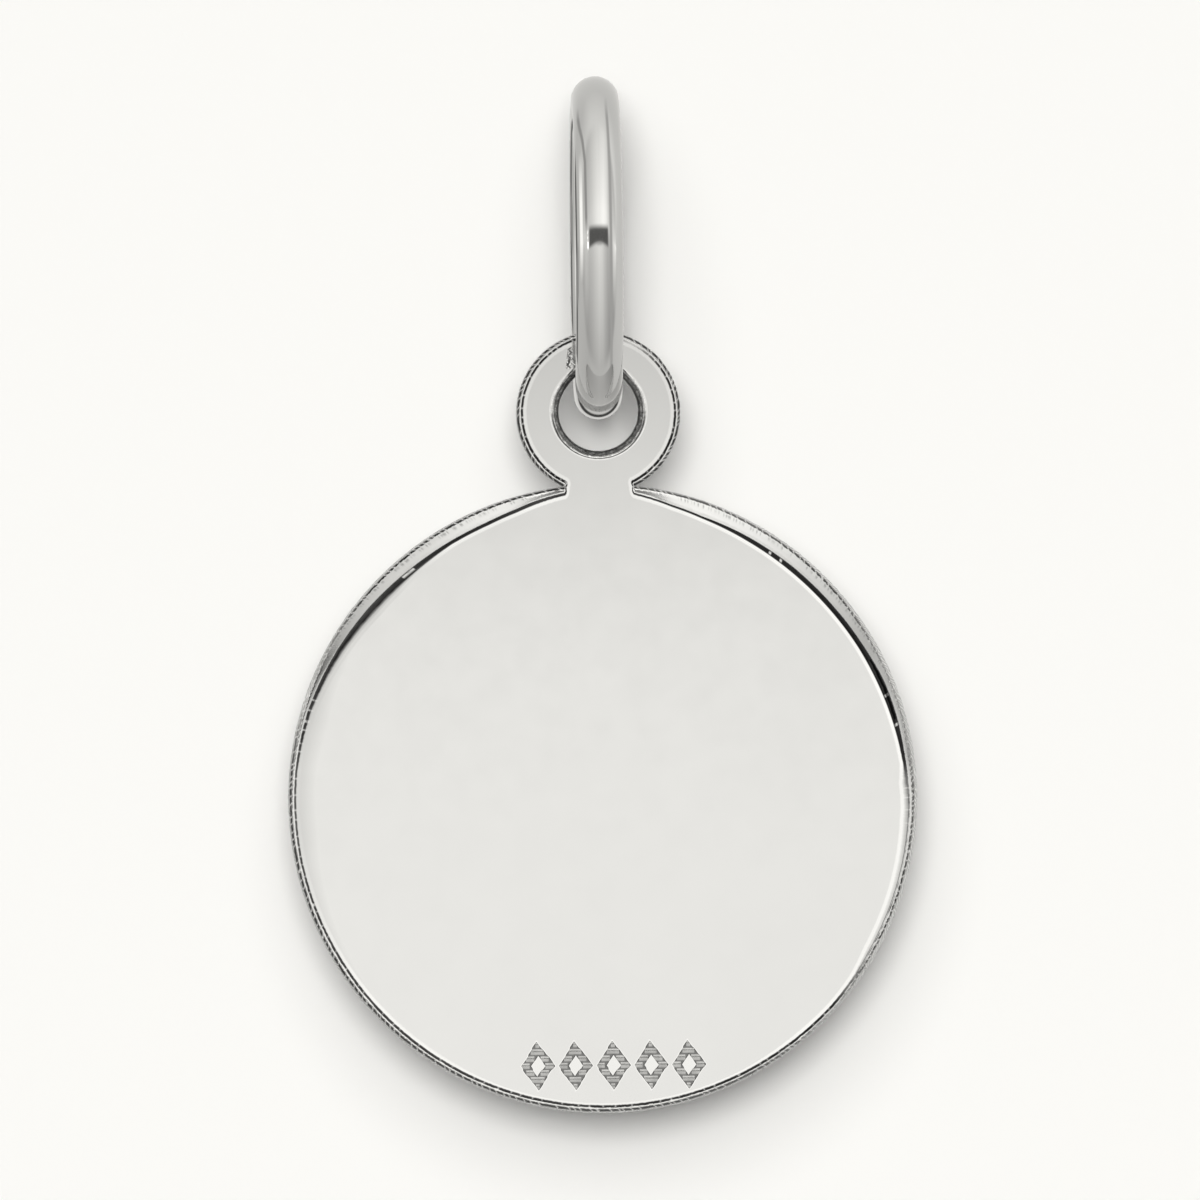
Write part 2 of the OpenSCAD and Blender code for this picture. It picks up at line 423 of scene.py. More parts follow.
# Columns along the plate's outline, anticlockwise from the neck's right corner: foot point on the
# outline, inward direction, bearing on the disc, share of the disc's rim (0 on the eyelet), length.
def rimRun():
    eyeletRadius, pitch = plateShape["eyeletRadius"], plateShape["columnPitch"]
    steps = plateShape["fanColumns"]
    discEdge = degrees(asin(plateShape["neckHalf"] / discRadius))
    eyeEdge = degrees(asin(plateShape["neckHalf"] / eyeletRadius))
    start, end = 90 + discEdge, 450 - discEdge
    feet, inward, bearing, share = [], [], [], []

    def arc(radius, middle, first, last, part):
        count = int(radians(last - first) * radius / pitch)
        for angle in np.linspace(first, last, count):
            away = np.array((cos(radians(angle)), sin(radians(angle))))
            feet.append(away * radius + (0, middle))
            inward.append(-away)
            bearing.append(angle if part else start if angle > 90 else end)
            share.append(part)

    def fan(first, last, towardsDisc):
        for number in range(1, steps):
            angle = radians(first + (last - first) * number / steps)
            feet.append(feet[-1])
            inward.append(np.array((cos(angle), sin(angle))))
            bearing.append(start if towardsDisc else end)
            share.append(number / steps if towardsDisc else 1 - number / steps)

    arc(eyeletRadius, plateShape["eyeletZ"], -90 + eyeEdge, 270 - eyeEdge, 0)
    fan(90 - eyeEdge, -90 + discEdge, True)
    arc(discRadius, plateShape["discZ"], start, end, 1)
    fan(270 - discEdge, 90 + eyeEdge, False)
    feet = np.array(feet)
    length = np.concatenate(([0], np.cumsum(np.hypot(*np.diff(feet, axis=0).T) + 0.002)))
    return feet, np.array(inward), np.array(bearing), np.array(share), length


feet, inward, bearing, share, runLength = rimRun()


# The columns of the rim's table in mm, each at every column of points.
def roundRim():
    bearings, *columns = zip(*rimTable)
    for column, plain, unit in zip(columns, eyeletRim, rimUnits):
        onDisc = np.interp(bearing, bearings, np.array(column) / unit)
        yield plain / unit + (onDisc - plain / unit) * share


# How far inside the rim the terrace's inner line lies.
def terraceInset(band):
    away = np.radians(bearing - band["bearing"])
    off = band["flat"] + band["width"]
    lineRadius = discRadius + band["flat"]
    reach = -off * np.cos(away) + np.sqrt(lineRadius ** 2 - (off * np.sin(away)) ** 2)
    inset = np.clip(discRadius - reach, 0, None) * share
    return inset * np.interp(bearing, *zip(*band["taper"]))


plate = {"points": [], "tone": [], "torn": [], "satin": [], "map": [], "faces": [], "finish": []}


# A point of the plate, depth mm below the back face. Returns its number.
def addPoint(x, z, depth, tone, torn, along=None, across=None, satin=0.0):
    plate["points"].append((x, discLow.y + depth, z))
    plate["tone"].append(tone)
    plate["torn"].append(torn)
    plate["satin"].append(satin)
    plate["map"].append((x if along is None else along, z if across is None else across))
    return len(plate["points"]) - 1


def addFace(face, finish, reverse):
    plate["faces"].append(face[::-1] if reverse else face)
    plate["finish"].append(finish)


# Closed rows of points, and quads between them. A row is its points' places, inset, depth, tone,
# torn, satin and the finish of the faces before it. Returns the first and the last row.
def layRows(rows, along, reverse):
    laid, across, before = [], 0.0, None
    for spots, inset, depth, tone, rag, satin, finish in rows:
        if before is not None:
            across += float(np.mean(np.hypot(inset - before[0], depth - before[1])))
        before = (inset, depth)
        values = zip(spots, *np.broadcast_arrays(depth, tone, rag, along, satin))
        laid.append([addPoint(spot[0], spot[1], deep, shade, rough, run, across, dull)
                     for spot, deep, shade, rough, run, dull in values])
        for here in range(len(along) if len(laid) > 1 else 0):
            there = (here + 1) % len(along)
            addFace([laid[-2][here], laid[-1][here], laid[-1][there], laid[-2][there]], finish, reverse)
    return laid[0], laid[-1]


# Along the rim, 1 on dashes and 0 in the gaps between them.
def dashMarks(random, longest, gap):
    marks = np.zeros(len(runLength))
    spot = 0.0
    while spot < runLength[-1]:
        length = longest * random.uniform(0.4, 1.0)
        marks[(runLength >= spot) & (runLength < spot + length)] = 1.0
        spot += length + gap * random.uniform(0.5, 1.5)
    return marks


# Rows from the flat face over terrace, torn edge and side wall to the front face.
def layRim(random):
    plain, crease, soft, edge, darkAt, creaseTone, lipTone, landTone, darkTone = roundRim()
    tighter = 1 - rimLooks["tighter"] * np.sin(pi * share) ** 2
    line = np.maximum(plain, np.maximum(terraceInset(terraces[0]), terraceInset(terraces[1]))) * tighter
    crease, edge = crease * tighter, edge * tighter
    wide = np.clip((line - plain) / rimLooks["wide"], 0, 1)
    wide = wide * wide * (3 - 2 * wide)
    onEyelet = share < 0.5
    shaded = share * np.interp(bearing, *zip(*rimLooks["dim"]))
    lipEnd = np.interp(bearing, *zip(*rimLooks["lip"]))
    fadeAt, fadeHalf, faded = rimLooks["fade"]
    aside = np.degrees(np.arctan2(feet[:, 1] - plateShape["eyeletZ"], feet[:, 0]))
    creaseTone = creaseTone + onEyelet * faded * np.exp(-((aside - fadeAt) / fadeHalf) ** 2)

    # broken lines
    whole = np.where(onEyelet, dashMarks(random, *rimDashes["eyeletCrease"]),
                     np.maximum(dashMarks(random, *rimDashes["crease"]), wide > 0.05))
    creaseTone = np.where(whole > 0, creaseTone, np.maximum(creaseTone, rimDashes["creaseGapTone"]))
    line = line + random.uniform(-rimLooks["waver"], rimLooks["waver"], len(line)) * (wide < 0.5)
    middleTone = creaseTone.copy()
    # painted highlights: bright slits across the crease's painted shade
    for where, half in creaseGlints:
        middleTone[(np.abs(bearing - where) < half) & (share == 1)] = rimLooks["creaseGlintTone"]
    edge = edge * random.uniform(*rimLooks["ragged"], len(line))
    torn = dashMarks(random, *rimDashes["edge"])

    step = rimDepths["step"] + (rimDepths["terraceStep"] - rimDepths["step"]) * wide
    slope = np.radians(rimDepths["landSlope"] + (rimDepths["slope"] - rimDepths["landSlope"]) * wide)
    foot = line - crease  # outer side of the crease
    margin = rimLooks["margin"]
    landStart, landEnd = foot - margin, edge + margin

    def land(inset):
        return step + np.clip(foot - inset, 0, None) * np.tan(slope)

    inner = line + soft
    lit = lipTone * (1 - 0.18 * shaded)
    # Their tones paint shade onto the face's left, a highlight onto the lip, shade into the crease,
    # reflections onto the land and a dark line into the torn edge.
    stations = [  # inset, depth, tone, torn, finish
        (inner + lipEnd + 0.004 + 0.26 * shaded, 0, 1, 0, 0),
        (inner + lipEnd + 0.002 + 0.1 * shaded, 0, 1 - 0.1 * shaded, 0, 0),
        (inner + lipEnd, 0, 1 - 0.16 * shaded, 0, 0),
        (inner + lipEnd * 0.6, 0, lit, 0, 0),
        (inner + 0.006, 0, lit, 0, 0),
        (line + soft * 0.6, 0, creaseTone + (1 - creaseTone) * 0.66, 0, 0),
        (line + soft * 0.28, 0, creaseTone + (1 - creaseTone) * 0.26, 0, 0),
        (line, 0.001, creaseTone, 0.1, 0),
        (line - crease * 0.45, step, middleTone, 0.2, 0),
        (line - crease * 0.88, step, creaseTone, 0.2, 0),
        (landStart, land(landStart), landTone * 1.03, 0, 0),
    ]
    often, faint, strong = rimLooks["specks"]
    for part in (0.3, 0.55, 0.8):
        inset = landStart + (landEnd - foot + margin) * part
        specks = random.uniform(0, 1, len(line)) < often
        specks = specks * random.uniform(faint, strong, len(line)) * (part == 0.8)
        tone = landTone * (1.03 - (0.05 + 0.12 * wide) * part) * (1 - specks)
        stations.append((inset, land(inset), tone, 0, 0))
    stations.append((landEnd, land(landEnd), landTone * (0.98 - 0.12 * wide), 0.3, 0))

    _, first, same = np.unique(feet.round(6), axis=0, return_index=True, return_inverse=True)
    gapTone = rimDashes["edgeGapTone"]
    for number, part in enumerate((0.96, 0.8, 0.6, 0.4, 0.2, 0.0)):
        inset = edge * part
        depth = land(edge) + margin + rimDepths["roll"] * (1 - part) ** 1.5
        if part == 0:  # the columns of a neck corner meet in one point
            depth = depth[first][same.ravel()]
        dark = np.roll(torn, number // 2) * np.exp(-((inset - darkAt) / rimLooks["darkHalf"]) ** 4)
        stations.append((inset, depth, gapTone - (gapTone - darkTone) * dark, 1, 1))
    thick, slant, none = plateShape["thickness"], plateShape["frontBreak"], np.zeros_like(line)
    for row in [*rimLooks["side"], (thick - slant, 0.95, 0.1)]:
        stations.append((none, *row, 1))
    stations += [(none + slant, thick, 1, 0, 0), (none + slant * 2, thick, 1, 0, 0)]
    return layRows([(feet + inward * inset[:, None], inset, depth, tone, rag,
                     rimLooks["satin"] * wide * (inset < foot), finish)
                    for inset, depth, tone, rag, finish in stations], runLength, reverse=False)


# The eyelet's hole: a lip with a painted highlight, then the torn wall with a painted dark reflection, which
# narrows towards the front

holeShape = {
    "radius": 0.69,        # narrow end, at the sides and below
    "radiusAbove": 0.722,  # narrow end above, clear of the wire
    "above": 0.03,         # middle of the hole above the eyelet's
    "columns": 400,
    "widens": (0.64, 0.32),   # sine of the direction where the radius grows, and over how much
    "lipShine": (0.8, 0.65),  # the lip's painted shine at the sides, and its gain below and loss above
    "streak": 4,              # columns in a coarse streak of the wall
    "coarse": 0.6,            # share of the coarse streaks
    "twist": 60,              # columns by which they turn per mm
    "sideLight": 0.9,         # how much brighter the wall's painted tone is at its sides
    "run": 0.75,              # radius at which the grain has its true width
}
# The tones paint the lip's highlight and the wall's dark reflection; the streaks vary them at random.
holeRows = [  # radius beyond the narrow end, depth, tone, torn, finish, streaks
    (0.176, 0, 1, 0, 0, 0),
    (0.166, 0, 1.26, 0, 0, 0.1),
    (0.15, 0, 1.28, 0, 0, 0.2),
    (0.134, 0, 0.98, 0, 0, 0.4),
    (0.114, 0.003, 0.84, 0.12, 0, 0.7),
    (0.097, 0.01, 0.6, 0.5, 1, 1.4),
    (0.08, 0.04, 0.14, 0.9, 1, 1.6),
    (0.062, 0.08, 0.26, 1, 1, 1.9),
    (0.044, 0.12, 0.26, 1, 1, 1.9),
    (0.028, 0.15, 0.12, 1, 1, 1.2),
    (0.01, 0.185, 0.05, 1, 1, 0.4),
    (0, 0.22, 0.6, 0.8, 1, 0.2),
    (0, 0.3, 0.9, 0.5, 1, 0.1),
    (0, 0.43, 0.95, 0.3, 1, 0),
    (0.03, 0.46, 0.95, 0.1, 0, 0),
    (0.08, 0.46, 1, 0, 0, 0),
]


def layHole(random):
    count = holeShape["columns"]
    angles = np.arange(count) / count * 2 * pi
    start, over = holeShape["widens"]
    up = np.clip((np.sin(angles) - start) / over, 0, 1)
    narrow = holeShape["radius"] + (holeShape["radiusAbove"] - holeShape["radius"]) * up * up * (3 - 2 * up)
    middle = plateShape["eyeletZ"] + holeShape["above"]
    shine, change = holeShape["lipShine"]
    lipShine = np.clip(shine - change * np.sin(angles), 0, 1)
    streak, coarse, fullDepth = holeShape["streak"], holeShape["coarse"], holeRows[-1][1]
    rows = []
    for extra, depth, tone, rag, finish, streaks in holeRows:
        grain = coarse * np.repeat(random.uniform(-1, 1, count // streak + 1), streak)[:count]
        grain = np.roll(grain + (1 - coarse) * random.uniform(-1, 1, count), int(extra * holeShape["twist"]))
        sideways = holeShape["sideLight"] * np.cos(angles) ** 2 if 0.03 < extra < 0.1 else 0
        tones = tone * 2.0 ** (grain * streaks) * (1 + sideways)
        if tone > 1:
            tones = 1 + (tones - 1) * lipShine
        spots = [(r * cos(a), middle + r * sin(a)) for r, a in zip(narrow + extra, angles)]
        rows.append((spots, extra, depth * plateShape["thickness"] / fullDepth, tones, rag, 0, finish))
    return layRows(rows, angles * holeShape["run"], reverse=True)


# Row of hatched lozenges near the lower edge

lozenges = {
    "count": 5, "width": 0.58, "height": 0.84, "stroke": 0.13, "pitch": 0.66,
    "up": 0.84, "right": 0.12,  # middle of the row above the disc's lowest point and right of its middle
    "depth": 0.02, "wall": 0.006, "halo": 0.026,
    "rimGap": 0.203,  # no point of the row's painted pale halo comes nearer to the rim
    "sideSteps": 44,
    "scanPitch": 0.122,        # distance of two lines of the hatching
    "ragged": (0.015, 0.005),  # how far its lines stagger sideways, all alike and each on its own
    "flat": 0.36,              # half the height of a staggered line, as a share of their distance
}


def lozengeMiddles():
    first = -(lozenges["count"] - 1) / 2 * lozenges["pitch"]
    height = discLow.z + lozenges["up"]
    return [(lozenges["right"] + first + number * lozenges["pitch"], height)
            for number in range(lozenges["count"])]


# Distance from a lozenge's middle to its side, and the scale of its inner outline.
def lozengeInside():
    width, height = lozenges["width"], lozenges["height"]
    toSide = width * height / 2 / hypot(width, height)
    return toSide, 1 - lozenges["stroke"] / toSide


# Closed loops of points for each lozenge outline, sunk into the face between two steep walls.
def layLozenges(random):
    toSide, inner = lozengeInside()
    wall, halo, deep = lozenges["wall"], lozenges["halo"], lozenges["depth"]
    # Their tones paint a bright highlight round each stroke and shade onto its sunk floor.
    outlines = [  # scale, depth, tone, torn, more rim gap
        (1 + halo / toSide, 0, 1, 0, 0),
        (1 + halo * 0.6 / toSide, 0, 1.18, 0, 0.004),
        (1 + wall / toSide, 0, 1.18, 0, 0.008),
        (1 - wall / toSide, deep, 0.25, 0.1, 0.012),
        (inner + wall / toSide, deep, 0.25, 0.1, 0),
        (inner - wall / toSide, 0, 1.18, 0, 0),
        (inner - halo / toSide, 0, 1.1, 0, 0),
    ]
    loops = []
    corners = [(0.5, 0.0), (0.0, 0.5), (-0.5, 0.0), (0.0, -0.5)]
    pitch, discZ = lozenges["scanPitch"], plateShape["discZ"]
    lines = np.arange(-5, 6) * pitch
    flat = pitch * lozenges["flat"]
    knots = np.ravel([lines - flat, lines + flat], order="F")
    alike = random.uniform(-1, 1, len(lines)) * lozenges["ragged"][0]
    for middleX, middleZ in lozengeMiddles():
        stagger = np.repeat(alike + random.uniform(-1, 1, len(lines)) * lozenges["ragged"][1], 2)
        for scale, depth, tone, torn, more in outlines:
            loop = []
            for (ax, az), (bx, bz) in zip(corners, corners[1:] + corners[:1]):
                for part in np.arange(lozenges["sideSteps"]) / lozenges["sideSteps"]:
                    x = (ax + (bx - ax) * part) * lozenges["width"] * scale
                    z = (az + (bz - az) * part) * lozenges["height"] * scale
                    x += middleX + np.interp(z, knots, stagger)
                    z += middleZ
                    pull = min(1, (discRadius - lozenges["rimGap"] - more) / hypot(x, z - discZ))
                    loop.append(addPoint(x * pull, discZ + (z - discZ) * pull, depth, tone, torn))
            loops.append(loop)
    return loops


# Rubbed groove beside the ring, between the hole's lip and the rim

groove = {
    "left": 0.5, "middle": 0.965, "length": 0.4, "half": 0.05, "slant": 0.1, "depth": 0.014,
    "steps": (11, 36),
    "bend": (0.012, 0.8),      # how far it winds, and how fast from row to row
    "coreBend": (0.25, 0.55),  # the same of its core, as a share of the half width
    "coreHalf": 0.42,
    # Tones and their odds: the core's dark tones are painted shade, the sides' bright ones painted
    # highlights.
    "core": ((0.06, 0.25, 0.8), (0.6, 0.25, 0.15)),  # tones and their odds
    "sides": ((0.5, 1.0, 1.25), (0.15, 0.25, 0.6)),
}


def layGroove(random):
    across, along = groove["steps"]
    for row in range(along):
        rise = (row / (along - 1) - 0.5) * groove["length"]
        bend, coreBend = (groove[name][0] * sin(row * groove[name][1]) for name in ("bend", "coreBend"))
        for column in range(across):
            side = (column / (across - 1) - 0.5) * 2
            rim = min(column, across - 1 - column, row, along - 1 - row) < 2
            x = -groove["left"] + groove["slant"] * rise + side * groove["half"] + (0 if rim else bend)
            z = plateShape["eyeletZ"] + groove["middle"] + rise
            depth, tone, torn = 0.0, 1.0, 0.0
            if not rim:
                depth = groove["depth"] * (1 - side * side) * random.uniform(0.3, 1.0)
                core = abs(side - coreBend) < groove["coreHalf"]
                tones, odds = groove["core" if core else "sides"]
                tone, torn = random.choice(tones, p=odds), 0.1
            addPoint(x, z, depth, tone, torn)


# For each spot, whether it lies inside a closed loop of points.
def insideLoop(spots, loop):
    x, z = spots.T
    inside = np.zeros(len(spots), bool)
    for (ax, az), (bx, bz) in zip(loop, np.roll(loop, -1, axis=0)):
        if az != bz:
            inside ^= ((az > z) != (bz > z)) & (x < ax + (bx - ax) * (z - az) / (bz - az))
    return inside


# Triangles between an outer and an inner loop, through the loops and loose points in between.
def fillField(outer, inner, loops, loose, reverse):
    chains = [outer, inner] + loops
    numbers = [number for chain in chains for number in chain] + loose
    flat = np.array([(plate["points"][number][0], plate["points"][number][2]) for number in numbers])
    edges, start = [], 0
    for chain in chains:
        count = len(chain)
        edges += [(start + here, start + (here + 1) % count) for here in range(count)]
        start += count
    cut = geometry.delaunay_2d_cdt([Vector(spot) for spot in flat], edges, [], 0, 1e-6, True)
    spots, triangles, origin = np.array(cut[0]), np.array(cut[2]), cut[3]
    centres = spots[triangles].mean(axis=1)
    kept = insideLoop(centres, flat[:len(outer)])
    kept &= ~insideLoop(centres, flat[len(outer):len(outer) + len(inner)])
    for triangle in triangles[kept]:
        face = [numbers[origin[corner][0]] for corner in triangle]
        rough = min(plate["torn"][number] for number in face)
        addFace(face, 1 if rough > 0.2 else 0, reverse)


def attributeNode(tree, kind, name):
    return addNode(tree, "GeometryNodeInputNamedAttribute", {"Name": name}, data_type=kind)


# Bites small teeth into the mesh, inwards along its normals, where it is torn.
def makeTornTree():
    tree, given, out = newGroup("tornTeeth", "GeometryNodeTree", {
        "Geometry": "Geometry", "Bite": 0.00001, "Teeth per mm": 7.0, "Seed": 3.0,
    }, {"Geometry": "Geometry"})

    def scaled(vector, scale):
        return addNode(tree, "ShaderNodeVectorMath", {0: vector, "Scale": scale}, operation="SCALE")

    place = scaled(addNode(tree, "GeometryNodeInputPosition"), 1 / mm)
    teeth = noise(tree, place, given["Teeth per mm"], 2.0)
    teeth.noise_dimensions = "4D"
    feed(teeth.inputs["W"], given["Seed"])
    bite = times(tree, attributeNode(tree, "FLOAT", "torn"), given["Bite"])
    bite = times(tree, bite, spread(tree, teeth, 0.3, 0.7, 0.0, -1.0))
    moved = addNode(tree, "GeometryNodeSetPosition", {
        "Geometry": given["Geometry"], "Offset": scaled(addNode(tree, "GeometryNodeInputNormal"), bite)})
    roughened = addNode(tree, "GeometryNodeSetMaterial", {
        "Geometry": dressTree(tree, moved, facePolish), "Material": shearedEdge,
        "Selection": attributeNode(tree, "BOOLEAN", "sheared")})
    feed(out["Geometry"], roughened)
    return tree


def makePlateMesh():
    random = np.random.default_rng(14)
    backRim, frontRim = layRim(random)
    backHole, frontHole = layHole(random)
    loops = layLozenges(random)
    firstLoose = len(plate["points"])
    layGroove(random)
    fillField(backRim, backHole, loops, list(range(firstLoose, len(plate["points"]))), reverse=False)
    fillField(frontRim, frontHole, [], [], reverse=True)
    mesh = bpy.data.meshes.new("discPlate")
    mesh.from_pydata([Vector(point) * mm for point in plate["points"]], [], plate["faces"])
    for name in ("tone", "torn", "satin"):
        mesh.attributes.new(name, "FLOAT", "POINT").data.foreach_set("value", plate[name])
    sheared = mesh.attributes.new("sheared", "BOOLEAN", "FACE")
    sheared.data.foreach_set("value", [bool(finish) for finish in plate["finish"]])
    chart = mesh.uv_layers.new(name="rimRun")
    corners = np.zeros(len(mesh.loops), np.int32)
    mesh.loops.foreach_get("vertex_index", corners)
    chart.data.foreach_set("uv", np.array(plate["map"], np.float32)[corners].ravel())
    form = bmesh.new()
    form.from_mesh(mesh)
    bmesh.ops.remove_doubles(form, verts=form.verts, dist=1e-8)
    gaps = sum(not edge.is_manifold for edge in form.edges)
    print("plate joined:", len(form.faces), "faces,", gaps, "open edges, volume",
          round(form.calc_volume(signed=True) / mm ** 3, 3), "mm3")
    form.to_mesh(mesh)
    form.free()
    return mesh


# Smooth shading, sharp at folds beyond an angle and where the finish changes.
def sharpenFolds(mesh, angle):
    mesh.polygons.foreach_set("use_smooth", [True] * len(mesh.polygons))
    form = bmesh.new()
    form.from_mesh(mesh)
    for edge in form.edges:
        faces = edge.link_faces
        if len(faces) == 2:
            same = faces[0].material_index == faces[1].material_index
            edge.smooth = same and edge.calc_face_angle(0) < radians(angle)
    form.to_mesh(mesh)
    form.free()


discPlate = bakeTree("discPlate", makePlateMesh(), makeTornTree(), {
    "Bite": 0.014 * mm, "Teeth per mm": 7.0, "Seed": 3.0,
})
sharpenFolds(discPlate.data, 28)
print("disc plate made:", len(discPlate.data.polygons), "faces")


# Hatching: low ribs across the sunk strokes of the lozenges

hatch = {
    "Rib Width": 0.112 * mm, "Rib Height": 0.026 * mm, "Seed": 5,
    "ribSides": 12,
    "least": 0.82,      # the smallest share of their size that ribs have, at random
    "shortest": 0.045,  # no rib is shorter than this, in mm
}


def makeHatchTree():
    tree, given, out = newGroup("hatchRibs", "GeometryNodeTree", {
        "Geometry": "Geometry", "Rib Width": 0.00008, "Rib Height": 0.00001, "Seed": 5,
    }, {"Geometry": "Geometry"})
    rod = addNode(tree, "GeometryNodeMeshCylinder",
                  {"Vertices": hatch["ribSides"], "Radius": 0.5, "Depth": 1.0}, fill_type="TRIANGLE_FAN")
    lying = addNode(tree, "GeometryNodeTransform", {"Geometry": rod, "Rotation": (0, radians(90), 0)})
    uneven = addNode(tree, "FunctionNodeRandomValue", {2: hatch["least"], 3: 1.0, "Seed": given["Seed"]},
                     data_type="FLOAT").outputs[1]
    size = addNode(tree, "ShaderNodeCombineXYZ", {
        "X": times(tree, attributeNode(tree, "FLOAT", "ribLength"), uneven),
        "Y": given["Rib Height"], "Z": times(tree, given["Rib Width"], uneven)})
    placed = addNode(tree, "GeometryNodeInstanceOnPoints", {
        "Points": given["Geometry"], "Instance": lying, "Scale": size})
    feed(out["Geometry"], dressTree(tree, placed, hatchPolish))
    return tree


def makeHatchPoints():
    _, inner = lozengeInside()
    halfWidth, halfHeight = lozenges["width"] / 2, lozenges["height"] / 2
    points, lengths = [], []
    floor = discLow.y + lozenges["depth"]
    for middleX, middleZ in lozengeMiddles():
        lines = int(halfHeight / lozenges["scanPitch"])
        for number in range(-lines, lines + 1):
            z = number * lozenges["scanPitch"]
            outerX, innerX = ((scale - abs(z) / halfHeight) * halfWidth for scale in (1, inner))
            spans = [(-outerX, outerX)] if innerX <= 0 else [(-outerX, -innerX), (innerX, outerX)]
            for left, right in spans:
                if right - left > hatch["shortest"]:
                    points.append(Vector((middleX + (left + right) / 2, floor, middleZ + z)) * mm)
                    lengths.append((right - left) * mm)
    mesh = bpy.data.meshes.new("hatchPoints")
    mesh.from_pydata(points, [], [])
    mesh.attributes.new("ribLength", "FLOAT", "POINT").data.foreach_set("value", lengths)
    return mesh


hatchRibs = bakeTree("hatchRibs", makeHatchPoints(), makeHatchTree(), hatch)
sharpenFolds(hatchRibs.data, 50)
for piece in (discPlate, hatchRibs):
    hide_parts("disc")
    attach(piece, "pendant")
print("hatching made:", len(hatchRibs.data.polygons), "faces")


# Studio: what the metal mirrors, seen by glossy rays alone, and a plain pale surround for the camera

studio = {
    "tint": (1.0, 0.99, 0.954),     # the light is a little warm
    "pale": (0.956, 0.947, 0.915),  # what the camera sees past the backdrop
    "power": 1.16,
    "highFrom": (2.0, 16.0),     # pitch over which sideLow gives way to sideHigh
    "frontFrom": (-0.12, 0.12),  # and -y over which the back gives way to both
    "gain": 1.3,                 # what a ramp's full white stands for
    "pitch": [(-180, 0.64), (-130, 0.62), (-90, 0.6), (-60, 0.72), (-37, 0.82), (-15, 0.9), (0, 0.98),
              (10, 1.1), (14, 1.2), (25, 1.17), (37, 1.08), (60, 0.97), (82, 0.87), (100, 0.8),
              (130, 0.66), (180, 0.64)],
    "sideLow": [(-90, 0.75), (-84, 0.72), (-66, 0.8), (-49, 0.69), (-34, 0.75), (-19, 0.86), (0.4, 1.0),
                (2.4, 0.97), (12, 0.94), (24, 0.77), (39, 0.61), (54, 0.6), (62, 0.7), (68, 0.88),
                (82, 1.15), (90, 1.29)],
    "sideHigh": [(-90, 0.9), (-84, 0.74), (-66, 0.68), (-49, 0.65), (-34, 0.73), (-19, 0.86), (-5, 0.97),
                 (0.4, 1.0), (2.4, 0.98), (10, 1.05), (22, 1.11), (34, 1.0), (44, 0.78), (52, 0.68),
                 (72, 0.72), (90, 0.76)],
    "sideBack": [(-90, 0.85), (-75, 1.0), (-60, 0.95), (-40, 0.9), (-20, 1.0), (33, 1.0), (67, 1.1),
                 (90, 1.15)],
    # Cards and strip lights in this room. Each has a tone and, for some of the angles and places
    # that makeWorld works out, where it starts, is full, is full still and ends. A path shifts
    # "across" by the angle "round".
    "cards": {
        "camera": {"tone": 0.115, "bow": 0.0013, "bowed": (0.6, 3.6, 60, 61),
                   "lift": (-61, -60, 11.4, 15.2), "side": (-54, -46, 40, 48)},
        "glint": {"tone": 2.6, "pitch": (-2.5, -1.5, 4, 5.5), "side": (-60.5, -59, -55, -53.5)},
        "sparks": {"tone": 1.9, "pitch": (7, 8, 9.5, 10), "side": (-60.5, -59.5, -56, -54.5)},
        "moreSparks": {"tone": 1.8, "pitch": (12, 13, 15, 16), "side": (-60.5, -59.5, -56, -54.5)},
        "leftStrip": {"tone": 1.3, "across": (-0.82, -0.785, -0.7, -0.665), "round": (-12, 2, 16, 36)},
        "leftFlag": {"tone": 0.36, "across": (-0.075, -0.03, 0.02, 0.065), "round": (4, 10, 52, 60),
                     "path": [(9, -0.53), (30.5, -0.54), (40, -0.62), (47, -0.72), (53, -0.77)]},
        "rightFlag": {"tone": 0.46, "across": (-0.1, -0.03, 0.02, 0.07), "round": (-70, -60, 50, 62),
                      "path": [(-60, 0.5), (9, 0.5), (27, 0.49), (40, 0.46), (56, 0.41)]},
        "seam": {"tone": 0.14, "across": (-0.985, -0.97, -0.935, -0.9), "round": (-55, -45, 36, 46)},
        "patch": {"tone": 0.32, "across": (-1.0, -0.97, -0.9, -0.86), "round": (-20, -15, 1, 5)},
        "under": {"tone": 0.05, "cone": (15.5, 18.5, 24.5, 28), "swing": (-85, -70, 55, 70)},
    },
    # How much of the camera card's dark the plate itself sees, by pitch and by side
    "plateDark": [(0.0, 0.01), (0.27, 0.11), (0.45, 0.18), (0.65, 0.28), (0.95, 0.3), (1.3, 0.4),
                  (1.8, 0.2), (2.6, 0.0)],
    "plateSide": [(-14, 0), (-7, 1), (7, 1), (14, 0)],
}


# A curve through (place, height) pairs as a colour ramp; gain is what full white stands for.
def ramp(tree, value, stops, gain=1.0):
    low, high = stops[0][0], stops[-1][0]
    node = addNode(tree, "ShaderNodeValToRGB")
    elements = node.color_ramp.elements
    elements.remove(elements[1])
    for number, (place, height) in enumerate(stops):
        place = (place - low) / (high - low)
        stop = elements[0] if number == 0 else elements.new(place)
        stop.position = place
        stop.color = (height / gain, height / gain, height / gain, 1)
    feed(node.inputs["Fac"], spread(tree, value, low, high))
    return times(tree, node.outputs["Color"], gain)


